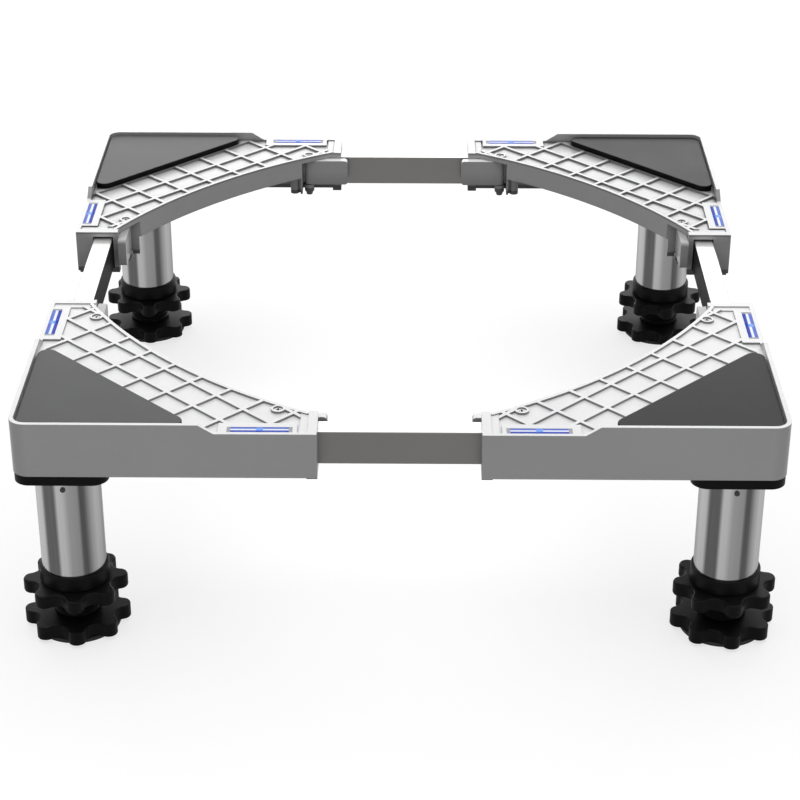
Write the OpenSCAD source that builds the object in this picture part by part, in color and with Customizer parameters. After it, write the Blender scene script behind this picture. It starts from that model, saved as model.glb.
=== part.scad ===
// Extendable stand for a washing machine. Four corner trays stand on screw legs and are joined
// by rectangular tubes that slide in the trays' arms. Latch levers clamp the tubes.
// Origin: centre of the stand on the floor. +X is to the right, +Y to the back, +Z is up.

/* [Frame] */
// Overall width across the trays, left to right
frame_w = 578; // [490:1:680]
// Overall depth across the trays, front to back
frame_d = 594; // [490:1:680]

/* [Connecting tubes] */
// Height of the tube's section
bar_h = 28; // [24:0.5:32]
// Width of the tube's section
bar_w = 16.7; // [14:0.1:19]
// Wall of the tube
bar_t = 1.2; // [0.8:0.1:2]
// Length of each tube
bar_l = 328; // [310:1:330]
// Corner radius of the section
bar_r = 1.6; // [1.3:0.1:3]
// From the tray's outer face to the tube
bar_inset = 15.5; // [15:0.1:17]
// Sliding clearance round the tube
bar_gap = 0.5; // [0.3:0.05:0.8]

/* [Corner tray] */
// Length of each arm, from the tray's outer corner
arm_l = 228; // [222:1:236]
// Wall between the tube's slot and the inner face of the arm's end
arm_inner_wall = 4.3; // [4:0.1:5]
// Height of the rim above the deck
rim_rise = 7.2; // [5:0.1:10]
// Outer wall
tray_wall = 3.4; // [2.6:0.1:3.6]
// Radius of the tray's outer corner
tray_corner_r = 13; // [6:0.5:16]
// Radius of the curved inner edge
arc_r = 460.5; // [456:0.5:463]
// From the tray's outer face to that curve, at the arm's end
arc_end = 31.2; // [30:0.1:32]
// Depth of the wall that hangs under the curved edge
skirt_h = 20; // [14:0.5:26]
// Thickness of that wall
skirt_t = 2.5; // [2:0.1:3]
// From the arm's end to the foot of the rim's slope
slope_end = 76; // [70:0.5:80]
// Length of the rim's slope
slope_run = 11.3; // [8:0.1:16]
// Thickness of the deck
deck_t = 3.4; // [2.4:0.1:3.6]
// Floor plate under the tube
shelf_t = 2.8; // [2.2:0.1:3.4]
// Walls of the tube's channel
channel_wall = 1.8; // [1.4:0.1:2.2]
// Length of the block at the arm's end
end_block_l = 8.2; // [7:0.1:9]
// How far that block reaches below the tray
end_block_drop = 1.6; // [1:0.1:3]
// Height added to the tube's slot at its mouth
mouth_rise = 0.9; // [0.5:0.1:1.5]
// Length of the raised lip at the arm's end
lip_l = 7; // [5:0.1:7.5]
// Length of the low step behind the lip
lip_step_l = 6; // [4:0.1:6.2]
// Drop from the lip to that step
lip_step_drop = 0.9; // [0.5:0.1:1.2]

/* [Deck ribs] */
// Height of the ribs above the deck
rib_h = 1.8; // [1.5:0.1:2.8]
// Width of the ribs
rib_w = 3; // [2:0.1:4]
// From the outer corner, along the diagonal, to the first rib past the pad
rib_start = 126; // [122:0.5:130]
// Pitch of the ribs along the diagonal
rib_pitch_out = 23.2; // [20:0.1:28]
// Pitch of the ribs across the diagonal
rib_pitch_side = 31; // [26:0.1:36]
// Ribs on each side of the diagonal
rib_side_count = 4; // [2:1:4]
// Width of the stiffening ribs underneath
web_w = 2.2; // [1.6:0.1:3]
// From the curved wall's lower edge up to theirs
web_rise = 1; // [0.5:0.5:5]

/* [Rubber pad] */
// Thickness of the pad
pad_t = 4.8; // [3:0.1:6]
// From the tray's outer faces to the pad
pad_margin = 4.6; // [4.2:0.1:6]
// From the outer corner to the pad's long edge, along the diagonal
pad_reach = 101.8; // [96:0.1:102]
// Radius of its corners
pad_r = 8; // [4:0.5:10]
// Strip of the tray left beside the long edge
pad_ledge = 0.9; // [0.5:0.1:2]

/* [Leg] */
// From the tray's outer faces to the leg's axis
leg_inset = 36; // [35.5:0.1:37]
// Outer diameter of the leg tube
leg_d = 50; // [48:0.5:51]
// Wall of the leg tube
leg_t = 1.5; // [1:0.1:2]
// Length of the leg tube
leg_l = 87.7; // [70:0.1:110]
// Thickness of the cap plate on top of the leg
cap_t = 8; // [6:0.5:10]
// From the tray's outer face to the cap plate
cap_margin = 0.6; // [0.3:0.1:1]
// Corner radius of the cap plate
cap_r = 12.4; // [6:0.1:14]
// Length of the cap's spigot in the leg tube
cap_spigot_l = 28; // [20:0.5:32]
// Height of the bush's collar
collar_h = 13.2; // [10:0.1:16]
// How far the collar stands out past the leg tube
collar_lip = 2.1; // [1:0.1:3]
// Length of the bush's spigot in the leg tube
bush_spigot_l = 26; // [18:0.5:32]
// Wall of both spigots
spigot_wall = 2.8; // [2:0.1:3.2]

/* [Foot] */
// Diameter of the screw stem
stem_d = 37; // [34:0.5:38]
// Pitch of its thread
thread_pitch = 4; // [3:0.5:5]
// Depth of its thread
thread_depth = 1.3; // [0.8:0.1:1.8]
// Wall of the hollow stem
stem_wall = 6; // [4:0.5:8]
// Length of the stem above the foot's star wheel
stem_l = 86; // [80:1:92]
// Height of both star wheels
star_h = 11.4; // [9:0.1:13]
// Radius over the lobes of the foot's star wheel
foot_star_r = 41; // [39:0.1:43]
// Radius over the lobes of the lock nut
nut_star_r = 40.4; // [38.4:0.1:42.4]
// Depth of the hollows between the lobes
star_valley = 9.4; // [7:0.1:11]
// Radius of each lobe's tip
lobe_r = 7; // [6:0.1:7.5]
// Lobes on each star wheel
lobe_count = 8; // [7:1:8]
// Turn of the star wheels, seen from above
star_turn = 6; // [0:1:44]
// Stem that shows between the foot and the lock nut
stem_gap = 16.5; // [12:0.5:20]
// Thickness of the rubber sole
sole_t = 3; // [2:0.1:5]
// Radius of the sole
sole_r = 33.2; // [28:0.1:35]
// Radius of the sole's pivot stub
stub_r = 8; // [5:0.5:12]
// Height of that stub
stub_h = 5; // [3:0.5:7]

/* [Latch lever] */
// From the arm's end back to the pivot
pivot_back = 30.5; // [29:0.1:32]
// From the tray's outer face to the pivot
pivot_in = 40.6; // [40.2:0.1:41]
// How far the lever's tip stands out past the arm's end
latch_tip_out = 6.5; // [4:0.1:8]
// Thickness of the lever
latch_w = 7.2; // [6.6:0.1:7.4]
// Radius of the lever's knuckle
knuckle_r = 3.9; // [3.5:0.1:4]
// Length of the clamping nose, along the tube
nose_l = 5.5; // [4:0.1:6.5]
// Corner radius of the lever's tip
latch_r = 3; // [2:0.1:5]
// Clearance round the lever
latch_gap = 0.3; // [0.2:0.05:0.4]
// Length of the window in the arm for the lever's nose
bay_l = 16.7; // [16:0.1:17.5]
// From the pivot back to the window's end wall
bay_back = 6.2; // [5.5:0.1:7]
// Radius of the post behind that wall
bay_post_r = 4.1; // [3:0.1:5]
// From the wall back to the post
bay_post_back = 7.5; // [7:0.1:9]
// From the curved wall to the post
bay_post_in = 3.5; // [3:0.1:5]
// Height of the ear above the floor plate
ear_h = 4.1; // [3:0.1:5]
// Radius of the ear round the pivot
ear_r = 4.6; // [4:0.1:5.2]
// How far the cone under the ear reaches below the tray
ear_drop = 3.6; // [2:0.1:5]
// Radius of that cone at the tray
ear_cone_r = 4.2; // [3.6:0.1:4.4]
// Radius of that cone at its tip
ear_tip_r = 2.8; // [2.6:0.1:3.4]

/* [Spirit levels] */
// Length of each level
level_l = 48.4; // [40:0.1:50]
// Width of each level
level_w = 7.8; // [6.5:0.1:8]
// Height of each level
level_h = 8.6; // [7.5:0.1:9]
// Diameter of the vial
vial_d = 5.6; // [4:0.1:5.8]
// Length of the vial
vial_l = 42; // [34:0.5:44]
// From the arm's end to the level
level_back = 18; // [17.5:0.1:20]
// Platform past each end of the level
level_frame_end = 6.8; // [3:0.1:7]
// Platform's width from the tray's outer face
level_frame_w = 17.4; // [14:0.1:18]

/* [Screws] */
// Diameter of a pivot screw
pivot_d = 4.1; // [3:0.1:4.4]
// Diameter of its head
pivot_head_d = 7.2; // [6:0.1:8]
// Height of its head
pivot_head_h = 2; // [1.5:0.1:2.6]
// How far the head is sunk in its boss
pivot_head_sink = 1; // [0.4:0.1:1.4]
// Diameter of the boss round the head
pivot_boss_d = 11; // [10:0.1:12]
// Diameter of a plate screw
plate_screw_d = 4.8; // [4:0.1:5.5]
// Diameter of its head
plate_head_d = 8.6; // [7:0.1:9]
// Height of its head
plate_head_h = 2.6; // [2:0.1:3.5]
// Depth of the plate screws in the tray
plate_screw_grip = 12; // [8:0.5:20]
// From the leg's axis to each plate screw, left to right and front to back
plate_screw_off = 24.4; // [24:0.1:25.5]
// Diameter of the tray's screw posts
post_d = 10; // [9:0.1:11]
// Diameter of the leg tube's side screw
side_screw_d = 2.8; // [2:0.1:3.5]
// Diameter of its head
side_head_d = 4.2; // [3.6:0.1:5]
// Height of its head
side_head_h = 0.8; // [0.5:0.1:1.2]
// From the leg tube's top to the side screw
side_screw_drop = 9.6; // [6:0.1:14]

/* [Hidden] */
// Each corner's name, whether it is at the left and whether it is at the front
CORNERS = [["front_left", true, true], ["front_right", false, true],
    ["back_left", true, false], ["back_right", false, false]];
CORNER_PARTS = ["tray", "rubber_pad", "leg_cap", "leg_tube", "thread_bush", "lock_nut", "screw_foot",
    "rubber_sole", "level_cases", "level_vials", "latch_x", "latch_y", "pivot_screws", "leg_screws"];
// Each tube's name, its turn from the back one's place, and whether it runs left to right
BARS = [["front", 180, true], ["back", 0, true], ["left", 90, false], ["right", -90, false]];

$fn = 96;
arc_fn = 720;
over = 1;
fit_gap = 0.05;
plug_gap = 0.1;
thread_gap = 0.1;
nose_gap = 0.25;
root2 = sqrt(2);

// -1 for the left and the front, 1 for the right and the back
function side(low) = low ? -1 : 1;

plastic_color = "#e9e9ea";
rubber_color = "#4a4a4a";
black_color = "#1c1c1c";
steel_color = "#b5b5b3";
glass_color = "#dfe9ff";
vial_color = "#3c5fd0";

nut_z = sole_t + star_h + stem_gap;
collar_z = nut_z + star_h;
leg_z = collar_z + collar_h;
cap_z = leg_z + leg_l;
tray_z = cap_z + cap_t;

// Heights inside the tray, from its underside
bar_z = shelf_t + bar_gap;
under_z = bar_z + bar_h + bar_gap;
floor_z = under_z + deck_t;
top_z = floor_z + rib_h;
rim_z = top_z + rim_rise;
skirt_z = top_z - skirt_h;
web_z = skirt_z + web_rise;

// Places across an arm, from the tray's outer face
slot_in = bar_inset - bar_gap;
slot_out = bar_inset + bar_w + bar_gap;
arm_w = slot_out + arm_inner_wall;
pivot_x = arm_l - pivot_back;
bay_x = pivot_x - bay_back;

// Centre of the curved edge, from both outer faces and to a tenth of a millimetre: the curve passes
// arc_end from each at the arm's end
arc_sum = arm_l + arc_end;
arc_root = sqrt(arc_sum * arc_sum - 2 * (arm_l * arm_l + arc_end * arc_end - arc_r * arc_r));
arc_c = round(5 * (arc_sum + arc_root)) / 10;

// The leg's walls and seats
cap_w = 2 * (leg_inset - cap_margin);
leg_box = leg_inset + leg_d / 2 + post_d;
leg_inner_r = leg_d / 2 - leg_t;
spigot_r = leg_inner_r - plug_gap;
stem_r = stem_d / 2;
stem_bore_r = stem_r + thread_gap;

// The latch lever
latch_y = arm_w + latch_gap;
ear_z = shelf_t + ear_h;
latch_z = ear_z + latch_gap;
latch_top = under_z - latch_gap;
nose_y = bar_inset + bar_w + nose_gap;
pivot_r = pivot_d / 2;
pivot_hole_r = pivot_r + fit_gap;
pivot_foot = ear_drop / 2;
pivot_head_z = top_z - pivot_head_sink - pivot_head_h;

level_x = arm_l - level_back - level_l;
level_y = tray_wall + fit_gap;
level_z = top_z - level_h;
level_cup_t = 1.4;

// A part written for the front left corner, at any of the four corners
module at_corner(c) {
    translate([side(c[1]) * frame_w / 2, side(c[2]) * frame_d / 2, 0])
        mirror([c[1] ? 0 : 1, 0, 0]) mirror([0, c[2] ? 0 : 1, 0]) children();
}

// What is written for the arm along X, and its copy for the arm along Y
module swap_arm() { mirror([1, -1, 0]) children(); }
module both_arms() {
    children();
    swap_arm() children();
}

// Round bar or cone of the height h at a place
module peg(at, r, h) { translate(at) cylinder(r = r, h = h); }
module peg_cone(at, r1, r2, h) { translate(at) cylinder(r1 = r1, r2 = r2, h = h); }

// Square from the outer corner, set in by inset, with the outer corner rounded
module corner_square(inset) {
    r = tray_corner_r - inset;
    translate([inset, inset]) {
        translate([r, 0]) square([arm_l - inset - r, arm_l - inset]);
        translate([0, r]) square([arm_l - inset, arm_l - inset - r]);
        translate([r, r]) circle(r);
    }
}

// The tray seen from above, with its curved edge set in by inner and its outer faces by outer
module tray_plan(inner = 0, outer = 0) {
    difference() {
        corner_square(outer);
        intersection() {
            translate([arc_c, arc_c]) circle(arc_r + inner, $fn = arc_fn);
            translate([arm_w - inner, arm_w - inner]) square(arm_l);
        }
    }
}

// The deck's outline: it ends inside the outer walls, with openings for the levels, the pivot
// bosses and the blocks at the arms' ends
module deck_plan(inner = 0) {
    difference() {
        tray_plan(inner, tray_wall / 2);
        both_arms() {
            translate([level_x - fit_gap, tray_wall])
                square([level_l + 2 * fit_gap, level_w + 2 * fit_gap]);
            translate([pivot_x, pivot_in]) circle(d = pivot_boss_d - 2 * over);
            translate([arm_l - end_block_l, slot_in - over])
                square([end_block_l + over, slot_out - slot_in + over]);
        }
    }
}

// Band of the deck along its curved edge
module arc_band(w) {
    intersection() {
        deck_plan();
        translate([arc_c, arc_c]) difference() {
            circle(arc_r + w, $fn = arc_fn);
            circle(arc_r, $fn = arc_fn);
        }
    }
}

// The part of the plan nearer the outer corner than a line across the diagonal
module inside_diagonal(reach) {
    polygon([[0, 0], [reach * root2, 0], [0, reach * root2]]);
}

// Bars along the diagonal, and bars across it
module side_bars(w) {
    rotate(45) for (k = [-rib_side_count : rib_side_count])
        translate([0, k * rib_pitch_side - w / 2]) square([arm_l * root2, w]);
}
module cross_bars(w) {
    rotate(45) for (u = [rib_start : rib_pitch_out : arm_l])
        translate([u - w / 2, -arm_l]) square([w, 2 * arm_l]);
}

module level_platform() {
    translate([level_x - level_frame_end, 0])
        square([level_l + level_frame_end + level_frame_end / 2, level_frame_w]);
}

// Ribs on the deck: the grid, the edge rib, the pad's platform, the levels' platforms and the
// pivot bosses, all at the height of the ribs
module deck_tops() {
    intersection() {
        deck_plan();
        union() {
            difference() {
                union() {
                    side_bars(rib_w);
                    cross_bars(rib_w);
                }
                both_arms() translate([arm_l - lip_l - lip_step_l, 0]) square(arm_l);
            }
            inside_diagonal(pad_reach + pad_ledge);
            both_arms() level_platform();
        }
    }
    arc_band(rib_w);
}

// The outer walls, from below the deck to the rim
module outer_walls() {
    difference() {
        linear_extrude(rim_z) difference() {
            tray_plan();
            corner_square(tray_wall);
        }
        both_arms() rim_cut();
    }
}

// What is cut from the rim past its slope
module rim_cut() {
    foot = arm_l - slope_end;
    translate([0, tray_wall + over, 0]) rotate([90, 0, 0]) linear_extrude(tray_wall + 2 * over)
        polygon([[foot, top_z], [foot - slope_run, rim_z], [foot - slope_run, rim_z + over],
            [arm_l + over, rim_z + over], [arm_l + over, top_z]]);
}

// Walls under the deck: the tube's channel, the latch bay's end and its post
module arm_underside() {
    channel_in = slot_in - channel_wall;
    channel_out = slot_out + channel_wall;
    bay_end = bay_x + bay_l;
    bay_arc = arc_c - sqrt(pow(arc_r + skirt_t, 2) - pow(arc_c - bay_x, 2));
    translate([leg_box, channel_in, 0]) cube([arm_l - leg_box, channel_wall, under_z]);
    translate([leg_box, slot_out, 0]) cube([bay_x - leg_box, channel_wall, under_z]);
    translate([bay_end, slot_out, 0]) cube([arm_l - bay_end, channel_wall, under_z]);
    translate([leg_box, channel_in, 0]) cube([arm_l - leg_box, channel_out - channel_in, shelf_t]);
    translate([bay_x - channel_wall, slot_out, 0])
        cube([channel_wall, bay_arc - slot_out + skirt_t / 2, under_z]);
    translate([bay_x - bay_post_back, bay_arc - bay_post_in, 0]) {
        cylinder(r = bay_post_r, h = under_z);
        translate([0, -channel_wall / 2, 0]) cube([bay_post_back, channel_wall, under_z]);
    }
    latch_ear();
    end_block();
    level_cup();
}

// Ear under the lever, with a blind hole for the foot of the pivot screw
module latch_ear() {
    difference() {
        union() {
            linear_extrude(ear_z) {
                translate([pivot_x, pivot_in]) circle(ear_r);
                translate([pivot_x - ear_r, slot_out]) square([2 * ear_r, pivot_in - slot_out]);
            }
            peg_cone([pivot_x, pivot_in, -ear_drop], ear_tip_r, ear_cone_r, ear_drop + over);
            ear_gusset();
        }
        peg([pivot_x, pivot_in, -pivot_foot], pivot_hole_r, ear_z + pivot_foot + over);
    }
}

module ear_gusset() {
    gusset_l = 3 * ear_r;
    translate([pivot_x, slot_out + channel_wall, 0]) rotate([90, 0, 0]) linear_extrude(channel_wall)
        polygon([[0, 0], [0, ear_z], [ear_r, ear_z], [gusset_l, shelf_t], [gusset_l, 0]]);
}

// Block at the arm's end, with the slot's mouth a little higher than the slot
module end_block() {
    translate([arm_l - end_block_l, 0, 0]) rotate([90, 0, 90]) linear_extrude(end_block_l) difference() {
        translate([tray_wall / 2, -end_block_drop])
            square([arm_w - tray_wall / 2, floor_z + end_block_drop]);
        translate([slot_in, shelf_t]) square([slot_out - slot_in, under_z + mouth_rise - shelf_t]);
    }
}

// Cup that holds a level, hanging from the deck
module level_cup() {
    cup_h = under_z + over - level_z + level_cup_t;
    difference() {
        translate([level_x - level_cup_t, tray_wall - over, level_z - level_cup_t])
            cube([level_l + 2 * level_cup_t, level_w + over + level_cup_t, cup_h]);
        level_pocket();
    }
}

// Boss in the deck round the head of a pivot screw
module pivot_boss() {
    translate([pivot_x, pivot_in, 0]) difference() {
        translate([0, 0, under_z]) cylinder(d = pivot_boss_d, h = top_z - under_z);
        cylinder(r = pivot_hole_r, h = top_z);
        translate([0, 0, pivot_head_z])
            cylinder(d = pivot_head_d + 2 * fit_gap, h = top_z - pivot_head_z + over);
    }
}

module tray() {
    color(plastic_color) translate([0, 0, tray_z]) {
        outer_walls();
        translate([0, 0, under_z]) linear_extrude(deck_t) deck_plan();
        translate([0, 0, floor_z - deck_t / 2]) linear_extrude(deck_t / 2 + rib_h) deck_tops();
        skirt();
        both_arms() {
            lip();
            arm_underside();
            pivot_boss();
        }
        leg_walls();
        webs();
    }
}

// Raised lip at the arm's end and the step behind it
module lip() {
    lip_h = deck_t / 2 + rib_h;
    translate([arm_l - lip_l, tray_wall / 2, floor_z - deck_t / 2])
        cube([lip_l, arm_w - tray_wall / 2, lip_h]);
    translate([arm_l - lip_l - lip_step_l, tray_wall / 2, floor_z - deck_t / 2])
        cube([lip_step_l + over, arm_w - tray_wall / 2, lip_h - lip_step_drop]);
}

// The wall that hangs under the curved edge
module skirt() {
    translate([0, 0, skirt_z]) linear_extrude(skirt_h - over) intersection() {
        arc_band(skirt_t);
        square(bay_x);
    }
}

// Box round the leg's head: two inner walls, a cross and four screw posts
module leg_walls() {
    both_arms() {
        translate([leg_box - tray_wall, tray_wall - over, 0])
            cube([tray_wall, leg_box - tray_wall + over, under_z + over]);
        translate([tray_wall - over, leg_inset - web_w / 2, 0])
            cube([leg_box - tray_wall, web_w, under_z + over]);
    }
    plate_screw_places() difference() {
        cylinder(d = post_d, h = under_z + over);
        peg([0, 0, -over], plate_screw_d / 2 + fit_gap, plate_screw_grip + 2 * over);
    }
}

module plate_screw_places() {
    for (i = [-1, 1]) for (j = [-1, 1])
        translate([leg_inset + i * plate_screw_off, leg_inset + j * plate_screw_off, 0]) children();
}

// Stiffening ribs under the deck, between the channels and the curved wall
module webs() {
    translate([0, 0, web_z]) linear_extrude(under_z - web_z + over) intersection() {
        difference() {
            tray_plan(skirt_t / 2);
            square(leg_box - tray_wall / 2);
            both_arms() square([arm_l, slot_out + channel_wall / 2]);
        }
        union() {
            side_bars(web_w);
            rotate(45) translate([rib_start - web_w / 2, -arm_l]) square([web_w, 2 * arm_l]);
        }
        square(bay_x);
    }
}

module level_pocket() {
    translate([level_x - fit_gap, tray_wall, level_z])
        cube([level_l + 2 * fit_gap, level_w + 2 * fit_gap, level_h + over]);
}

// Outline of three round corners and the straight edges between them
module pad_outline() {
    near = pad_margin + pad_r;
    far = (pad_reach - pad_r) * root2 - near;
    diag = pad_r / root2;
    polygon([
        [near, pad_margin], [far, pad_margin], [far + diag, near + diag],
        [near + diag, far + diag], [pad_margin, far], [pad_margin, near]]);
    translate([near, near]) circle(pad_r);
    translate([far, near]) circle(pad_r);
    translate([near, far]) circle(pad_r);
}

module rubber_pad() {
    color(rubber_color) translate([0, 0, tray_z + top_z]) linear_extrude(pad_t) pad_outline();
}

module rounded_square(w, h, r) {
    translate([r, 0]) square([w - 2 * r, h]);
    translate([0, r]) square([w, h - 2 * r]);
    for (x = [r, w - r]) for (y = [r, h - r]) translate([x, y]) circle(r);
}

// Black plate on the leg's head, with a hollow spigot for the leg tube
module leg_cap() {
    color(black_color) difference() {
        union() {
            translate([cap_margin, cap_margin, cap_z]) linear_extrude(cap_t)
                rounded_square(cap_w, cap_w, cap_r);
            peg([leg_inset, leg_inset, cap_z - cap_spigot_l], spigot_r, cap_spigot_l + over);
        }
        peg([leg_inset, leg_inset, cap_z - cap_spigot_l - over], spigot_r - spigot_wall, cap_spigot_l + over);
        plate_screw_places() {
            peg([0, 0, cap_z - over], plate_screw_d / 2 + fit_gap, cap_t + 2 * over);
            peg([0, 0, cap_z - over], plate_head_d / 2 + fit_gap, plate_head_h + over);
        }
        side_screw_hole();
    }
}

module side_screw_hole() {
    translate([leg_inset, leg_inset, cap_z - side_screw_drop]) rotate([90, 0, 0])
        cylinder(d = side_screw_d + 2 * fit_gap, h = leg_d);
}

module leg_tube() {
    color(steel_color) difference() {
        peg([leg_inset, leg_inset, leg_z], leg_d / 2, leg_l);
        peg([leg_inset, leg_inset, leg_z - over], leg_inner_r, leg_l + 2 * over);
        side_screw_hole();
    }
}

// Black bush in the leg tube's foot, with the collar that shows below it
module thread_bush() {
    color(black_color) translate([leg_inset, leg_inset, collar_z]) difference() {
        union() {
            cylinder(r = leg_d / 2 + collar_lip, h = collar_h);
            cylinder(r = spigot_r, h = collar_h + bush_spigot_l);
        }
        translate([0, 0, -over]) cylinder(r = stem_bore_r, h = collar_h + bush_spigot_l + 2 * over);
    }
}

// Star wheel outline: round lobes and round hollows that meet tangentially
module star(tip_r) {
    half = 180 / lobe_count;
    a = tip_r - lobe_r;
    v = tip_r - star_valley;
    hollow_r = (a * a + v * v - 2 * a * v * cos(half) - lobe_r * lobe_r)
        / (2 * (lobe_r - v + a * cos(half)));
    b = v + hollow_r;
    share = lobe_r / (lobe_r + hollow_r);
    function lobe(i) = a * [cos(2 * half * i), sin(2 * half * i)];
    function hollow(i) = b * [cos(2 * half * i + half), sin(2 * half * i + half)];
    difference() {
        union() {
            polygon([for (i = [0 : lobe_count - 1]) each [
                lobe(i) + share * (hollow(i - 1) - lobe(i)),
                lobe(i) + share * (hollow(i) - lobe(i))]]);
            for (i = [0 : lobe_count - 1]) translate(lobe(i)) circle(lobe_r);
        }
        for (i = [0 : lobe_count - 1]) translate(hollow(i)) circle(hollow_r);
    }
}

module lock_nut(turn) {
    color(black_color) translate([leg_inset, leg_inset, nut_z]) linear_extrude(star_h) difference() {
        rotate(turn) star(nut_star_r);
        circle(stem_bore_r);
    }
}

// Star wheel and hollow threaded stem in one piece, with a seat for the sole's stub
module screw_foot(turn) {
    root_r = stem_r - thread_depth;
    turns = floor(stem_l / thread_pitch);
    ridge = thread_pitch / 4;
    color(black_color) translate([leg_inset, leg_inset, sole_t]) {
        difference() {
            union() {
                linear_extrude(star_h) rotate(turn) star(foot_star_r);
                translate([0, 0, star_h]) rotate_extrude() polygon(concat(
                    [[stem_r - stem_wall, -over], [root_r, -over]],
                    [for (i = [0 : turns - 1]) each [
                        [root_r, i * thread_pitch], [stem_r, i * thread_pitch + ridge],
                        [stem_r, i * thread_pitch + 2 * ridge], [root_r, i * thread_pitch + 3 * ridge]]],
                    [[root_r, stem_l], [stem_r - stem_wall, stem_l]]));
            }
            translate([0, 0, -over]) cylinder(r = stub_r + fit_gap, h = stub_h + over + plug_gap);
        }
    }
}

module rubber_sole() {
    color(rubber_color) translate([leg_inset, leg_inset, 0]) {
        cylinder(r = sole_r, h = sole_t);
        cylinder(r = stub_r, h = sole_t + stub_h);
    }
}

// Clear block with a round bore for the vial
module level_case() {
    translate([level_x, level_y, tray_z + level_z]) difference() {
        cube([level_l, level_w, level_h]);
        translate([(level_l - vial_l) / 2 - fit_gap, level_w / 2, level_h / 2]) rotate([0, 90, 0])
            cylinder(d = vial_d + 2 * fit_gap, h = vial_l + 2 * fit_gap);
    }
}

module level_vial() {
    translate([level_x + (level_l - vial_l) / 2, level_y + level_w / 2, tray_z + level_z + level_h / 2])
        rotate([0, 90, 0]) cylinder(d = vial_d, h = vial_l);
}

module level_cases() { color(glass_color) both_arms() level_case(); }
module level_vials() { color(vial_color) both_arms() level_vial(); }

// Lever along the inner side of the arm, hinged at its back end, with a nose on the tube
module latch() {
    tip_x = arm_l + latch_tip_out;
    color(plastic_color) translate([0, 0, tray_z]) difference() {
        union() {
            intersection() {
                translate([0, 0, latch_z]) linear_extrude(latch_top - latch_z) union() {
                    translate([pivot_x, pivot_in]) circle(knuckle_r);
                    translate([pivot_x, latch_y]) square([tip_x - pivot_x, latch_w]);
                }
                translate([0, latch_y + latch_w + arm_w, latch_z]) rotate([90, 0, 0])
                    linear_extrude(2 * arm_w) rounded_square(tip_x, latch_top - latch_z, latch_r);
            }
            translate([pivot_x, nose_y, latch_z]) cube([nose_l, pivot_in - nose_y, latch_top - latch_z]);
        }
        peg([pivot_x, pivot_in, 0], pivot_hole_r, under_z);
    }
}

module latch_x() { latch(); }
module latch_y() { swap_arm() latch(); }

module cross_drive(d, depth) {
    slot_share = 0.22;
    for (a = [0, 90]) rotate(a) translate([-d / 2, -d * slot_share / 2, -depth])
        cube([d, d * slot_share, depth + over]);
}

module pivot_screw() {
    drive_share = 0.62;
    shank = pivot_head_z + pivot_foot - plug_gap;
    translate([pivot_x, pivot_in, tray_z + pivot_head_z]) difference() {
        union() {
            cylinder(d = pivot_head_d, h = pivot_head_h);
            translate([0, 0, -shank]) cylinder(r = pivot_r, h = shank + over);
        }
        translate([0, 0, pivot_head_h]) cross_drive(pivot_head_d * drive_share, pivot_head_h / 2);
    }
}

module pivot_screws() { color(steel_color) both_arms() pivot_screw(); }

module plate_screw() {
    drive_share = 0.62;
    translate([0, 0, cap_z]) difference() {
        union() {
            cylinder(d = plate_head_d, h = plate_head_h);
            cylinder(d = plate_screw_d, h = cap_t + plate_screw_grip);
        }
        mirror([0, 0, 1]) cross_drive(plate_head_d * drive_share, plate_head_h / 2);
    }
}

module side_screw() {
    reach = leg_t + spigot_wall;
    translate([leg_inset, leg_inset - leg_d / 2, cap_z - side_screw_drop]) rotate([90, 0, 0]) {
        translate([0, 0, -reach]) cylinder(d = side_screw_d, h = reach + over / 2);
        cylinder(d = side_head_d, h = side_head_h);
    }
}

module leg_screws() {
    color(steel_color) {
        plate_screw_places() plate_screw();
        side_screw();
    }
}

// Rectangular tube along X, centred on the origin of its section
module bar() {
    color(steel_color) translate([-bar_l / 2, 0, 0]) rotate([90, 0, 90]) linear_extrude(bar_l) difference() {
        rounded_square(bar_w, bar_h, bar_r);
        translate([bar_t, bar_t]) rounded_square(bar_w - 2 * bar_t, bar_h - 2 * bar_t, bar_r - bar_t);
    }
}

module tube(b) {
    half = (b[2] ? frame_d : frame_w) / 2 - bar_inset - bar_w;
    translate([0, 0, tray_z + bar_z]) rotate(b[1]) translate([0, half, 0]) bar();
}

module corner_part(p, c) {
    at_corner(c) {
        if (p == "tray") tray();
        if (p == "rubber_pad") rubber_pad();
        if (p == "leg_cap") leg_cap();
        if (p == "leg_tube") leg_tube();
        if (p == "thread_bush") thread_bush();
        if (p == "lock_nut") lock_nut(side(c[1]) * side(c[2]) * star_turn);
        if (p == "screw_foot") screw_foot(side(c[1]) * side(c[2]) * star_turn);
        if (p == "rubber_sole") rubber_sole();
        if (p == "level_cases") level_cases();
        if (p == "level_vials") level_vials();
        if (p == "latch_x") latch_x();
        if (p == "latch_y") latch_y();
        if (p == "pivot_screws") pivot_screws();
        if (p == "leg_screws") leg_screws();
    }
}

for (c = CORNERS) for (p = CORNER_PARTS)
    corner_part(p, c);
for (b = BARS)
    tube(b);
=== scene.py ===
"""Looks for the stand that carries a washing machine.

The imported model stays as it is. This script gives each solid its finish and rounds its edges, puts
detailed spirit levels in the place of the plain vials, and sets the floor, the light and the camera.
"""
import math

import bmesh
import bpy
from mathutils import Matrix, Vector


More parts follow.
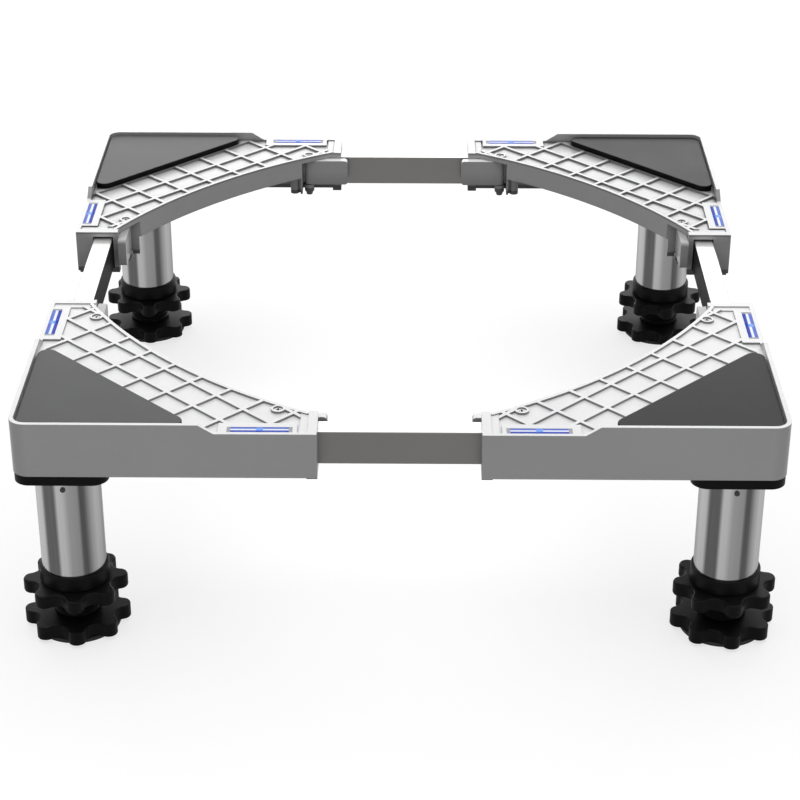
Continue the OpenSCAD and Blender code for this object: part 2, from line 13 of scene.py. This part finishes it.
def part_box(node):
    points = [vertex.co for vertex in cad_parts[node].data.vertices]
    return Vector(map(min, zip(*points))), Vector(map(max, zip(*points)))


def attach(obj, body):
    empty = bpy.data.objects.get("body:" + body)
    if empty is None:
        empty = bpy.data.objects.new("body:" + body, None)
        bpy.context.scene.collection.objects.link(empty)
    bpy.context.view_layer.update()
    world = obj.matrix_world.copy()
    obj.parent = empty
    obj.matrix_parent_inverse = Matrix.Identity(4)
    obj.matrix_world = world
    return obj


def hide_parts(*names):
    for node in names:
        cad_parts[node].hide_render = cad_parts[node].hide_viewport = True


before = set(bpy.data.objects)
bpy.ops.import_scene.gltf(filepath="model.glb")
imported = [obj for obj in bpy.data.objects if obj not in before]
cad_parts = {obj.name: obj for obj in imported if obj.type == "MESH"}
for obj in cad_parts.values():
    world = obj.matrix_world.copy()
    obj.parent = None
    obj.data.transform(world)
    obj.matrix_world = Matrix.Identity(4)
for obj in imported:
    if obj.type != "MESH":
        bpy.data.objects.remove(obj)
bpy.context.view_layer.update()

CORNERS = ("front_left", "front_right", "back_left", "back_right")
SIDES = ("front", "back", "left", "right")


class Wire:
    """A node's output that Python's operators work on. Each operator adds a maths node."""

    def __init__(self, paint, socket):
        self.paint = paint
        self.socket = socket

    def __add__(self, other):
        return self.paint.maths("ADD", self, other)

    def __radd__(self, other):
        return self.paint.maths("ADD", other, self)

    def __sub__(self, other):
        return self.paint.maths("SUBTRACT", self, other)

    def __rsub__(self, other):
        return self.paint.maths("SUBTRACT", other, self)

    def __mul__(self, other):
        return self.paint.maths("MULTIPLY", self, other)

    def __rmul__(self, other):
        return self.paint.maths("MULTIPLY", other, self)

    def __truediv__(self, other):
        return self.paint.maths("DIVIDE", self, other)

    def __lt__(self, other):
        return self.paint.maths("LESS_THAN", self, other)

    def __gt__(self, other):
        return self.paint.maths("GREATER_THAN", self, other)


def is_wide(value):
    """Whether a value is a colour or a vector, and not one number."""
    if isinstance(value, Wire):
        return value.socket.type != "VALUE"
    return isinstance(value, tuple)


class Paint:
    """A node tree to be filled: a material's or the world's."""

    def __init__(self, owner):
        owner.use_nodes = True
        self.owner = owner
        self.tree = owner.node_tree
        self.tree.nodes.clear()

    def node(self, kind, settings=None, sockets=None, output=0):
        """Adds a node: first its settings, then the values or wires of its sockets."""
        made = self.tree.nodes.new("ShaderNode" + kind)
        for name, value in (settings or {}).items():
            if name == "stops":
                self.fill_ramp(made.color_ramp, value)
            else:
                setattr(made, name, value)
        for name, value in (sockets or {}).items():
            if isinstance(value, Wire):
                self.tree.links.new(value.socket, made.inputs[name])
            else:
                made.inputs[name].default_value = value
        return Wire(self, made.outputs[output]) if made.outputs else made

    @staticmethod
    def fill_ramp(ramp, stops):
        """Sets a ramp's stops: pairs of a place from 0 to 1 and a grey value or a colour."""
        while len(ramp.elements) < len(stops):
            ramp.elements.new(1.0)
        for element, (place, tone) in zip(ramp.elements, stops):
            element.position = place
            element.color = (tone, tone, tone, 1.0) if isinstance(tone, float) else (*tone, 1.0)

    def maths(self, operation, *values):
        """A Math node on numbers, or a Vector Math node where a value is a colour or a vector."""
        kind = "VectorMath" if any(is_wide(value) for value in values) else "Math"
        if kind == "VectorMath":
            values = [value if isinstance(value, (Wire, tuple)) else (value,) * 3 for value in values]
        return self.node(kind, {"operation": operation}, dict(enumerate(values)))

    def mix(self, share, low, high):
        """The colour low where share is 0 and the colour high where it is 1."""
        colours = [value if isinstance(value, Wire) else (*value, 1.0) for value in (low, high)]
        return self.node("Mix", {"data_type": "RGBA"}, {0: share, 6: colours[0], 7: colours[1]}, output=2)

    def noise(self, scale, detail=2.0, stretch=(1.0, 1.0, 1.0)):
        """Noise on the piece's own place, from 0 to 1, with scale in swings per metre."""
        place = self.node("TexCoord", output="Object") * stretch
        return self.node("TexNoise", {}, {"Vector": place, "Scale": scale, "Detail": detail})

    def place(self):
        """The place on the piece, as its X, Y and Z."""
        place = self.node("TexCoord", output="Object")
        return [self.node("SeparateXYZ", {}, {0: place}, output=i) for i in range(3)]

    def facing(self, axis):
        """How far the surface faces along an axis, from -1 to 1."""
        return self.node("SeparateXYZ", {}, {0: self.node("TexCoord", output="Normal")}, output=axis)

    def bump(self, height, distance, strength=1.0, edge=0.0):
        """The surface's normal, tilted by a height whose full swing is distance metres. Where edge
        isn't 0, corners look rounded by that radius."""
        sockets = {"Height": height, "Distance": distance, "Strength": strength}
        if edge:
            sockets["Normal"] = self.node("Bevel", {"samples": 4}, {"Radius": edge})
        return self.node("Bump", {}, sockets)

    def surface(self, sockets):
        """Ends a material in one surface shader."""
        shader = self.node("BsdfPrincipled", {}, sockets)
        self.node("OutputMaterial", {}, {"Surface": shader})
        return self.owner


def paint_for(name):
    return Paint(bpy.data.materials.new(name))


# The stand's places that its finishes and their painted shade go by, in metres
STAND_HALF = (0.289, 0.297)
STAND_CORNER = 0.013
DECK_HEIGHT = 0.1863
RIB_TOP = 0.1883
LOW_FROM = 0.15
LOW_RUN = 0.022
LATCH_Y_FROM = 0.2
HAIR = 0.0001

# How much painted shade darkens the white plastic's colour, from 0 to 1
UPRIGHT_PAINTED_SHADE = 0.14
SIDEWAYS_PAINTED_SHADE = 0.22
RIB_PAINTED_SHADE = 0.24
LOW_PAINTED_SHADE = 0.5
UNDER_PAINTED_SHADE = 0.85
NOOK_PAINTED_SHADE = 0.2
BACK_NOOK_PAINTED_SHADE = 1.6
BACK_DECK_PAINTED_SHADE = 0.09
RIGHT_DECK_PAINTED_SHADE = 0.07
LATCH_TOP_PAINTED_SHADE = 0.55
NOOK_REACH = 0.016


def white_plastic(edge, inner_painted_shade):
    """Satin moulded plastic: faint clouding, fine grain and the long waves of a moulded plate.
    Painted shade darkens upright faces, those inside the stand's outline more by inner_painted_shade,
    and more so on the ribs and low down. Faces that look down get the most painted shade. Where edge
    isn't 0, it is the radius that corners seem to have, and the deck's nooks get a painted shadow."""
    paint = paint_for("white_plastic")
    cloud = paint.noise(scale=14.0, detail=3.0)
    grain = paint.noise(scale=1900.0)
    waves = paint.noise(scale=45.0, detail=1.0)
    place = paint.place()
    past = []
    for i in range(2):
        beyond = paint.maths("ABSOLUTE", place[i]) - (STAND_HALF[i] - STAND_CORNER)
        past.append(paint.maths("MAXIMUM", beyond, 0.0))
    from_outline = paint.maths("SQRT", past[0] * past[0] + past[1] * past[1])
    inside = from_outline < STAND_CORNER - 4.0 * HAIR
    upright = 1.0 - paint.maths("ABSOLUTE", paint.facing(2))
    rib = (place[2] > DECK_HEIGHT) * (place[2] < RIB_TOP)
    low = paint.node("ValToRGB", {"stops": [(0.0, 1.0), (0.2, 0.95), (0.26, 0.4), (1.0, 0.0)]},
                     {0: (place[2] - LOW_FROM) / LOW_RUN})
    under = paint.maths("MAXIMUM", paint.facing(2) * -1.0, 0.0)
    up = paint.maths("MAXIMUM", paint.facing(2), 0.0)
    sideways = paint.maths("ABSOLUTE", paint.facing(0)) * SIDEWAYS_PAINTED_SHADE
    slope = paint.maths("MAXIMUM", paint.facing(1) * -1.0, 0.0) * up
    inward = inner_painted_shade + RIB_PAINTED_SHADE * rib + LOW_PAINTED_SHADE * low
    # Painted shade on upright faces: more on faces turned left or right outside the outline, and more
    # inside it
    painted_shade = upright * (UPRIGHT_PAINTED_SHADE + sideways * (1.0 - inside) + inside * inward)
    # Painted shade under things, and on slopes above the ribs that face the front
    painted_shade = painted_shade + (under * UNDER_PAINTED_SHADE + slope * (place[2] > RIB_TOP))
    if edge:
        # A painted shadow in the deck's nooks, darker on the back trays, and painted shade on the back and
        # right decks
        open_sky = paint.node("AmbientOcclusion", {"samples": 8}, {"Distance": NOOK_REACH}, output=1)
        back = place[1] > 0.0
        nook = (1.0 - open_sky) * (NOOK_PAINTED_SHADE + BACK_NOOK_PAINTED_SHADE * back)
        painted_shade = painted_shade + up * (nook + back * (BACK_DECK_PAINTED_SHADE + RIGHT_DECK_PAINTED_SHADE * (place[0] > 0.0)))
    else:
        # Painted shade on the latches' tops
        latch_y = paint.maths("ABSOLUTE", place[0]) > LATCH_Y_FROM
        painted_shade = painted_shade + up * latch_y * LATCH_TOP_PAINTED_SHADE
    # The plastic's own tone, before the painted shade darkens it
    unshaded_tone = paint.mix(cloud, (0.775, 0.775, 0.785), (0.845, 0.845, 0.85))
    return paint.surface({
        "Base Color": paint.mix(painted_shade, unshaded_tone, (0.02, 0.02, 0.02)),
        "Specular IOR Level": 0.33,
        "Roughness": 0.2 + 0.1 * cloud + 0.05 * grain,
        "Normal": paint.bump(grain * 0.03 + waves, 0.0002, 0.35, edge),
    })


def black_plastic():
    """Glass-filled black plastic: matt, with a fine grain and faint scuffs."""
    paint = paint_for("black_plastic")
    grain = paint.noise(scale=1500.0, detail=3.0)
    scuff = paint.noise(scale=60.0, detail=5.0, stretch=(1.0, 1.0, 4.0))
    scuffs_and_sheen = paint.maths("POWER", scuff, 5.0)
    return paint.surface({
        "Base Color": paint.mix(scuffs_and_sheen, (0.005, 0.005, 0.0052), (0.03, 0.03, 0.03)),
        "Specular IOR Level": 0.09,
        "Roughness": 0.34 + 0.16 * scuff,
        "Normal": paint.bump(grain, 0.00005, 0.5),
    })


def pad_rubber():
    """Smooth dark rubber: its top is painted greyer than its sides as a painted sheen, and more so on the
    left.
    """
    paint = paint_for("pad_rubber")
    # Painted sheen: faces that look up are painted lighter than the sides
    top = paint.node("ValToRGB", {"stops": [(0.55, 0.0), (0.97, 1.0)]}, {0: paint.facing(2)})
    grain = paint.noise(scale=2600.0)
    cloud = paint.noise(scale=25.0, detail=4.0)
    # The painted sheen's tone on the left pads and on the right ones
    scuffs_and_sheen = paint.mix(cloud, (0.074, 0.074, 0.075), (0.094, 0.094, 0.096))
    right_pad_sheen = paint.mix(cloud, (0.011, 0.011, 0.0115), (0.017, 0.017, 0.018))
    top_painted_sheen = paint.mix(paint.place()[0] > 0.0, scuffs_and_sheen, right_pad_sheen)
    return paint.surface({
        "Base Color": paint.mix(top, (0.004, 0.004, 0.004), top_painted_sheen),
        "Specular IOR Level": 0.08,
        "Roughness": 0.3 + 0.12 * cloud,
        "Normal": paint.bump(grain, 0.00004, 0.5),
    })


def sole_rubber():
    """Rough black rubber under the feet."""
    paint = paint_for("sole_rubber")
    grain = paint.noise(scale=900.0, detail=4.0)
    return paint.surface({
        "Base Color": paint.mix(grain, (0.012, 0.012, 0.012), (0.028, 0.028, 0.028)),
        "Roughness": 0.62 + 0.2 * grain,
        "Normal": paint.bump(grain, 0.0001, 0.6),
    })


def satin_steel():
    """The tubes' steel, brushed along the tube, with a painted highlight on top and painted shade that
    is darkest on its left and right sides."""
    paint = paint_for("satin_steel")
    cloud = paint.noise(scale=9.0, detail=3.0)
    across = paint.noise(scale=1400.0, stretch=(0.02, 0.02, 1.0))
    # Painted highlight: faces that look up are painted bright
    top = paint.node("ValToRGB", {"stops": [(0.3, 0.0), (0.9, 1.0)]}, {0: paint.facing(2)})
    front = paint.mix(cloud, (0.185, 0.181, 0.174), (0.215, 0.211, 0.204))
    # Painted shade: the faces turned left and right are painted dark
    side = paint.mix(paint.maths("ABSOLUTE", paint.facing(0)) * 0.75, front, (0.06, 0.06, 0.06))
    return paint.surface({
        "Base Color": paint.mix(top, side, (0.82, 0.82, 0.81)),
        "Specular Tint": (0.32, 0.32, 0.32, 1.0),
        "Metallic": 1.0,
        "Roughness": 0.3 + 0.12 * across,
        "Normal": paint.bump(across, 0.00003, 0.4),
    })


# The painted reflection bands round a leg: degrees from the front, and a share of the steel's brightness
LEG_REFLECTION_BANDS = (
    (-180, 0.36), (-160, 0.08), (-138, 0.09), (-130, 0.48), (-112, 0.44), (-104, 0.09), (-92, 0.08),
    (-70, 0.50), (-55, 0.50), (-47, 0.08), (-27, 0.08), (-21, 0.48), (-12, 0.46), (-3, 0.29),
    (14, 0.24), (19, 0.05), (27, 0.06), (38, 0.30), (50, 0.44), (62, 0.36), (76, 0.07), (92, 0.09),
    (104, 0.48), (120, 0.44), (130, 0.08), (146, 0.09), (156, 0.42), (180, 0.36),
)
LEG_REFLECTION_GAIN = 1.15
LEFT_LEG_TURN = 9.0
ROUND = 360.0


def polished_steel():
    """The legs' steel: drawn tube with painted reflections, darker and lighter bands from end to end."""
    paint = paint_for("polished_steel")
    # Painted reflections: tone by the angle round the leg, turned a little on the left legs
    turn = paint.maths("ARCTAN2", paint.facing(0), paint.facing(1) * -1.0) / (2.0 * math.pi) + 0.5
    turn = turn - LEFT_LEG_TURN / ROUND * (paint.place()[0] < 0.0)
    stops = [(angle / ROUND + 0.5, share * LEG_REFLECTION_GAIN) for angle, share in LEG_REFLECTION_BANDS]
    painted_reflection = paint.node("ValToRGB", {"stops": stops}, {0: turn})
    drawn = paint.noise(scale=900.0, stretch=(1.0, 1.0, 0.015))
    return paint.surface({
        "Base Color": paint.mix(drawn * 0.2, painted_reflection, (0.5, 0.5, 0.5)),
        "Metallic": 1.0,
        "Roughness": 0.17 + 0.1 * drawn,
        "Normal": paint.bump(drawn, 0.00002, 0.5),
    })


PIVOT_DRIVE_FLOOR = 0.185
PIVOT_HEAD_TOP = 0.1872
SIDE_SCREW_HEIGHT = 0.1336
SIDE_SCREW_REACH = 0.003
SIDE_SCREW_DARKENING = 0.94


def screw_steel():
    """Plated screws: the drive of the pivot screws has painted shade, and the legs' side screws are
    darkened.
    """
    paint = paint_for("screw_steel")
    cloud = paint.noise(scale=500.0, detail=4.0)
    height = paint.place()[2]
    # Painted shade in the pivot screws' drive
    drive = (height > PIVOT_DRIVE_FLOOR) * (height < PIVOT_HEAD_TOP - HAIR)
    # The legs' side screws are darkened
    side = paint.maths("ABSOLUTE", height - SIDE_SCREW_HEIGHT) < SIDE_SCREW_REACH
    drive_shade_and_side_dark = paint.maths("MAXIMUM", drive, side * SIDE_SCREW_DARKENING)
    plated = paint.mix(cloud, (0.55, 0.55, 0.55), (0.78, 0.78, 0.77))
    return paint.surface({
        "Base Color": paint.mix(drive_shade_and_side_dark, plated, (0.02, 0.02, 0.02)),
        "Metallic": 1.0,
        "Roughness": 0.26 + 0.22 * cloud,
        "Normal": paint.bump(cloud, 0.00003, 0.5),
    })


VIAL_LENGTH = 0.042
BUBBLE_LENGTH = 0.0052

# A level's middle along the arm and its distance from the stand's middle line, for the level on the
# arm that runs left to right and for the other one
LEVEL_MIDDLE = ((0.1032, 0.28965), (0.1112, 0.28165))
LEVEL_HALF_WIDTH = 0.0039
LEVEL_X_FROM = 0.2
CASE_END = 0.0006

# The colours across a level, from its near long side to its far one, and where the bubble is: the liquid's
# blue, a painted highlight line along the middle and painted shade in the deep blue
LEVEL_BLUE_AND_PAINTED_LIGHT = [
    (0.0, (0.12, 0.19, 0.6)), (0.32, (0.14, 0.21, 0.66)), (0.4, (0.9, 0.93, 1.0)),
    (0.6, (0.9, 0.93, 1.0)), (0.66, (0.025, 0.055, 0.46)), (1.0, (0.02, 0.045, 0.38)),
]
BUBBLE_BLUE_AND_PAINTED_LIGHT = [
    (0.0, (0.16, 0.26, 0.75)), (0.35, (0.3, 0.5, 1.0)), (0.6, (0.2, 0.38, 0.95)), (0.8, (0.02, 0.045, 0.4)),
]


def clear_block():
    """The levels' clear block. The liquid tints its long sides blue, with a painted highlight line, painted
    shade and a painted glow, and its ends stay grey.
    """
    paint = paint_for("clear_block")
    cloud = paint.noise(scale=160.0)
    place = paint.place()
    flat = [paint.maths("ABSOLUTE", place[i]) for i in range(2)]
    arm_x = flat[1] > LEVEL_X_FROM
    arm_y = 1.0 - arm_x
    along = arm_x * (flat[0] - LEVEL_MIDDLE[0][0]) + arm_y * (flat[1] - LEVEL_MIDDLE[1][0])
    near = paint.maths("SIGN", place[1]) * -1.0
    off_line = arm_x * near * (flat[1] - LEVEL_MIDDLE[0][1]) + arm_y * (LEVEL_MIDDLE[1][1] - flat[0])
    across = off_line / (2.0 * LEVEL_HALF_WIDTH) + 0.5
    # The liquid's blue with a painted highlight line and painted shade
    blue_and_painted_light = paint.node("ValToRGB", {"stops": LEVEL_BLUE_AND_PAINTED_LIGHT}, {0: across})
    bubble_blue_and_painted_light = paint.node("ValToRGB", {"stops": BUBBLE_BLUE_AND_PAINTED_LIGHT}, {0: across + (cloud - 0.5) * 0.4})
    off_middle = paint.maths("ABSOLUTE", along)
    bubble = off_middle < BUBBLE_LENGTH / 2.0
    end = off_middle > VIAL_LENGTH / 2.0 + CASE_END
    colour = paint.mix(bubble, paint.mix(cloud * 0.12, blue_and_painted_light, (0.5, 0.6, 0.95)), bubble_blue_and_painted_light)
    colour = paint.mix(end, colour, (0.42, 0.42, 0.44))
    return paint.surface({
        "Base Color": colour,
        # A painted glow
        "Emission Color": colour,
        "Emission Strength": 0.1,
        "Specular IOR Level": 0.01,
        "Roughness": 0.12 + 0.06 * cloud,
        "Alpha": 0.84 + 0.1 * cloud,
    })


def vial_blue():
    """Blue liquid in a round vial, with a painted glow."""
    paint = paint_for("vial_blue")
    cloud = paint.noise(scale=260.0, detail=3.0)
    return paint.surface({
        "Base Color": paint.mix(cloud, (0.05, 0.1, 0.55), (0.08, 0.16, 0.7)),
        # A painted glow
        "Emission Color": (0.05, 0.1, 0.6, 1.0),
        "Emission Strength": 0.3,
        "Roughness": 0.08 + 0.08 * cloud,
        "Coat Weight": 1.0,
        "Coat Roughness": 0.03,
    })


def vial_painted_highlight():
    """A painted highlight: the bright line that a vial of liquid shows along its top, with a painted glow.
    """
    paint = paint_for("vial_painted_highlight")
    cloud = paint.noise(scale=320.0, detail=3.0)
    return paint.surface({
        "Base Color": paint.mix(cloud, (0.92, 0.94, 1.0), (0.98, 0.99, 1.0)),
        # A painted glow
        "Emission Color": (0.93, 0.95, 1.0, 1.0),
        "Emission Strength": 0.9,
        "Roughness": 0.1 + 0.1 * cloud,
    })


def vial_bubble():
    """The pale bubble on top of the liquid, with a painted glow."""
    paint = paint_for("vial_bubble")
    cloud = paint.noise(scale=900.0)
    return paint.surface({
        "Base Color": paint.mix(cloud, (0.1, 0.2, 0.75), (0.5, 0.68, 1.0)),
        # A painted glow
        "Emission Color": (0.25, 0.4, 0.95, 1.0),
        "Emission Strength": 0.4,
        "Roughness": 0.05 + 0.08 * cloud,
        "Coat Weight": 1.0,
    })


FINISHES = {
    "moulded_tray": white_plastic(0.0004, 0.28),
    "white_plastic": white_plastic(0.0, 0.32),
    "black_plastic": black_plastic(),
    "pad_rubber": pad_rubber(),
    "sole_rubber": sole_rubber(),
    "satin_steel": satin_steel(),
    "polished_steel": polished_steel(),
    "screw_steel": screw_steel(),
    "clear_block": clear_block(),
}

# The part, its finish and the radius of its edges, in metres. A radius of 0 adds no modifier.
CORNER_FINISHES = (
    ("tray", "moulded_tray", 0.0),
    ("rubber_pad", "pad_rubber", 0.0008),
    ("leg_cap", "black_plastic", 0.0012),
    ("leg_tube", "polished_steel", 0.0004),
    ("thread_bush", "black_plastic", 0.0012),
    ("lock_nut", "black_plastic", 0.0016),
    ("screw_foot", "black_plastic", 0.0016),
    ("rubber_sole", "sole_rubber", 0.0008),
    ("level_cases", "clear_block", 0.0003),
    ("level_vials", "clear_block", 0.0003),
    ("latch_x", "white_plastic", 0.0010),
    ("latch_y", "white_plastic", 0.0010),
    ("pivot_screws", "screw_steel", 0.0003),
    ("leg_screws", "screw_steel", 0.0002),
)


WELD_REACH = 0.000002
FLAT_ANGLE = 0.4
SHARP_ANGLE = 32.0


def dress(node, finish, edge):
    """Gives a solid its finish, and rounds its sharp edges by a radius. The trays' edges are rounded
    by their finish instead."""
    mesh = node.data
    mesh.materials.clear()
    mesh.materials.append(FINISHES[finish])
    if not edge:
        return
    if "custom_normal" in mesh.attributes:
        mesh.attributes.remove(mesh.attributes["custom_normal"])
    mesh.shade_smooth()
    weld = node.modifiers.new("weld", "WELD")
    weld.merge_threshold = WELD_REACH
    flat = node.modifiers.new("flat", "DECIMATE")
    flat.decimate_type = "DISSOLVE"
    flat.angle_limit = math.radians(FLAT_ANGLE)
    bevel = node.modifiers.new("edge", "BEVEL")
    bevel.width = edge
    bevel.segments = 2
    bevel.limit_method = "ANGLE"
    bevel.angle_limit = math.radians(SHARP_ANGLE)
    bevel.miter_outer = "MITER_ARC"
    bevel.harden_normals = True


for corner in CORNERS:
    for part, finish, edge in CORNER_FINISHES:
        dress(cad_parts[part + "_" + corner], finish, edge)
for side in SIDES:
    dress(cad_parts["tube_" + side], "satin_steel", 0.0002)


def turned(bm, place, outline, sides, finish_of):
    """Adds a body of revolution on its own X axis, from pairs of a place along it and a radius."""
    rings = []
    for along, radius in outline:
        ring = []
        for k in range(sides):
            turn = 2.0 * math.pi * k / sides
            point = Vector((along, radius * math.sin(turn), radius * math.cos(turn)))
            ring.append(bm.verts.new(place @ point))
        rings.append(ring)
    for near, far in zip(rings, rings[1:]):
        for k in range(sides):
            after = (k + 1) % sides
            face = bm.faces.new((near[k], near[after], far[after], far[k]))
            face.smooth = True
            face.material_index = finish_of((k + 0.5) / sides)
    for ring in (rings[0], rings[-1]):
        bm.faces.new(ring).material_index = finish_of(0.5)


DOME_STEPS = 6
TIP_SHARE = 0.08


def vial_outline(length, radius, dome):
    """A vial's outline, with ends rounded over the length dome."""
    start = [(0.0, radius * TIP_SHARE)]
    for step in range(1, DOME_STEPS + 1):
        turn = step / DOME_STEPS * math.pi / 2.0
        start.append((dome * (1.0 - math.cos(turn)), radius * math.sin(turn)))
    return start + [(length - along, across) for along, across in reversed(start)]


VIAL_SIDES = 36
DOME_SHARE = 0.45
HIGHLIGHT_SHARE = 0.15
BUBBLE_RADIUS = 0.0024
BUBBLE_RISE = 0.0001

vial_finishes = (vial_blue(), vial_painted_highlight(), vial_bubble())


def vials(corner):
    """The two vials of a corner, one along each arm, each with the painted highlight line and the bubble.
    """
    low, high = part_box("level_vials_" + corner)
    signs = [1.0 if low[i] > 0.0 else -1.0 for i in range(2)]
    near = [min(abs(low[i]), abs(high[i])) for i in range(2)]
    far = [max(abs(low[i]), abs(high[i])) for i in range(2)]
    radius = (high.z - low.z) / 2.0
    centre = (high.z + low.z) / 2.0
    bm = bmesh.new()
    for arm in range(2):
        other = 1 - arm
        start = Vector((0.0, 0.0, centre))
        start[arm] = signs[arm] * near[arm]
        start[other] = signs[other] * (far[other] - radius)
        place = Matrix.Translation(start)
        place.col[0][:3] = [signs[arm] if i == arm else 0.0 for i in range(3)]
        place.col[1][:3] = [signs[other] if i == other else 0.0 for i in range(3)]
        # The faces along the vial's top take the painted highlight
        turned(bm, place, vial_outline(VIAL_LENGTH, radius, radius * DOME_SHARE), VIAL_SIDES,
               lambda turn: 1 if min(turn, 1.0 - turn) < HIGHLIGHT_SHARE else 0)
        top = place @ Matrix.Translation((VIAL_LENGTH / 2.0 - BUBBLE_LENGTH / 2.0, 0.0,
                                          radius + BUBBLE_RISE - BUBBLE_RADIUS))
        turned(bm, top, vial_outline(BUBBLE_LENGTH, BUBBLE_RADIUS, BUBBLE_LENGTH / 2.0 - HAIR),
               VIAL_SIDES, lambda turn: 2)
    bmesh.ops.recalc_face_normals(bm, faces=bm.faces)
    mesh = bpy.data.meshes.new("vials_" + corner)
    bm.to_mesh(mesh)
    bm.free()
    for finish in vial_finishes:
        mesh.materials.append(finish)
    piece = bpy.data.objects.new("vials_" + corner, mesh)
    bpy.context.scene.collection.objects.link(piece)
    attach(piece, "corner_" + corner)
    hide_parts("level_vials_" + corner)


for corner in CORNERS:
    vials(corner)


def light_rays(paint):
    """1 for the rays of the camera, of mirrors and of glass, and 0 for the rest."""
    kinds = ("Is Camera Ray", "Is Glossy Ray", "Is Transmission Ray")
    rays = [paint.node("LightPath", output=kind) for kind in kinds]
    return paint.maths("MAXIMUM", paint.maths("MAXIMUM", rays[0], rays[1]), rays[2])


WHITE = (1.0, 1.0, 1.0, 1.0)
FLOOR_SIZE = 14.0
FLOOR_TONE = 0.34
FLOOR_CHANGE = 0.01
FLOOR_GLOW = 0.72
MIRROR_GLOW = 0.5
SHADOW_REACH = 1.0
FADE_RUN = 1.0


def floor():
    """A pale floor that shows white and keeps a soft shadow. Away from the shadow it fades to the
    white of the room."""
    paint = paint_for("floor")
    camera = paint.node("LightPath", output="Is Camera Ray")
    grain = paint.noise(scale=6.0)
    tones = [(FLOOR_TONE + change,) * 3 for change in (-FLOOR_CHANGE, FLOOR_CHANGE)]
    plain = paint.node("BsdfDiffuse", {}, {"Color": paint.mix(grain, *tones)})
    place = paint.place()
    away = paint.maths("SQRT", place[0] * place[0] + place[1] * place[1])
    fade = paint.maths("MAXIMUM", paint.maths("MINIMUM", (away - SHADOW_REACH) / FADE_RUN, 1.0), 0.0)
    seen = camera * (FLOOR_GLOW - MIRROR_GLOW + fade * (1.0 - FLOOR_GLOW))
    strength = seen + light_rays(paint) * MIRROR_GLOW
    glow = paint.node("Emission", {}, {"Color": WHITE, "Strength": strength})
    lit = paint.node("AddShader", {}, {0: plain, 1: glow})
    clear = paint.node("BsdfTransparent")
    under = paint.node("NewGeometry", output="Backfacing")
    paint.node("OutputMaterial", {}, {"Surface": paint.node("MixShader", {}, {0: under, 1: lit, 2: clear})})
    mesh = bpy.data.meshes.new("floor")
    half = FLOOR_SIZE / 2.0
    outline = [(-half, -half, 0.0), (half, -half, 0.0), (half, half, 0.0), (-half, half, 0.0)]
    mesh.from_pydata(outline, [], [(0, 1, 2, 3)])
    mesh.materials.append(paint.owner)
    plane = bpy.data.objects.new("floor", mesh)
    bpy.context.scene.collection.objects.link(plane)


AMBIENT = 0.22


def studio():
    """A white room for the camera and for mirrors, and a weak even light for the rest."""
    world = bpy.data.worlds.new("studio")
    bpy.context.scene.world = world
    paint = Paint(world)
    strength = light_rays(paint) * (1.0 - AMBIENT) + AMBIENT
    sky = paint.node("Background", {}, {"Color": WHITE, "Strength": strength})
    paint.node("OutputWorld", {}, {"Surface": sky})


def lamp(name, place, aim, width, height, radiance):
    """A soft rectangular lamp at a place, turned to a point. Radiance 1 shows as white."""
    light = bpy.data.lights.new(name, "AREA")
    light.shape = "RECTANGLE"
    light.size = width
    light.size_y = height
    light.energy = radiance * math.pi * width * height
    made = bpy.data.objects.new(name, light)
    made.location = place
    made.rotation_mode = "QUATERNION"
    made.rotation_quaternion = (Vector(aim) - Vector(place)).to_track_quat("-Z", "Y")
    made.visible_camera = False
    bpy.context.scene.collection.objects.link(made)


def photo_camera():
    """The camera at the photograph's place and angle."""
    place = Vector((0.0114, -1.7014, 0.9677))
    pitch = math.radians(28.11)
    yaw = math.radians(-0.45)
    roll = math.radians(0.08)
    ahead = Vector((math.sin(yaw) * math.cos(pitch), math.cos(yaw) * math.cos(pitch), -math.sin(pitch)))
    right = Vector((math.cos(yaw), -math.sin(yaw), 0.0))
    up = right.cross(ahead)
    side = right * math.cos(roll) + up * math.sin(roll)
    top = up * math.cos(roll) - right * math.sin(roll)
    turn = Matrix((side, top, -ahead)).transposed()
    data = bpy.data.cameras.new("camera")
    data.lens = 98.46
    data.sensor_width = 36.0
    camera = bpy.data.objects.new("camera", data)
    camera.matrix_world = Matrix.Translation(place) @ turn.to_4x4()
    bpy.context.scene.collection.objects.link(camera)
    bpy.context.scene.camera = camera


floor()
studio()
lamp("overhead", place=(0.0, 0.35, 2.4), aim=(0.0, 0.1, 0.0), width=3.6, height=3.6, radiance=1.6)
lamp("back_panel", place=(0.0, 2.6, 0.75), aim=(0.0, 0.0, 0.3), width=4.4, height=1.5, radiance=2.2)
photo_camera()
bpy.context.scene.view_settings.view_transform = "Standard"
